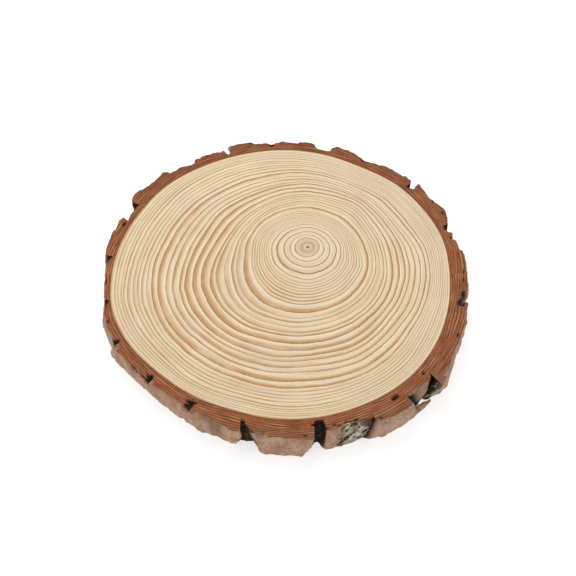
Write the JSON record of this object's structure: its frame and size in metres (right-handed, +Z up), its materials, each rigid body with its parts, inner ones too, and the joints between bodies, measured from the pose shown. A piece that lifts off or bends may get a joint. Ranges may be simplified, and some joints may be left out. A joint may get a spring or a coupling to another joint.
{
  "type": "wood slice",
  "caption": "Flat round sawn across a pine log, with annual rings on both faces and rough bark left on the edge. Lies flat as a board, stand or craft blank.",
  "frame": {"origin": "centre of the bounding box at the underside", "axes": "+Z up through the slice's thickness from the underside to the shown sawn face, +X to the right and +Y away from the viewer of the picture"},
  "size_m": [0.2508, 0.2604, 0.023],
  "materials": {
    "sawn_wood": "bare sawn and sanded pine end grain, cream with tan ring lines, matt",
    "bark": "red-brown pine bark in thin layers, weathered grey-brown outside, matt and rough",
    "lichen": "dry grey-green lichen crust grown on the bark, matt"
  },
  "bodies": {
    "root": {"wood_slice": "sawn_wood"}
  },
  "joints": []
}
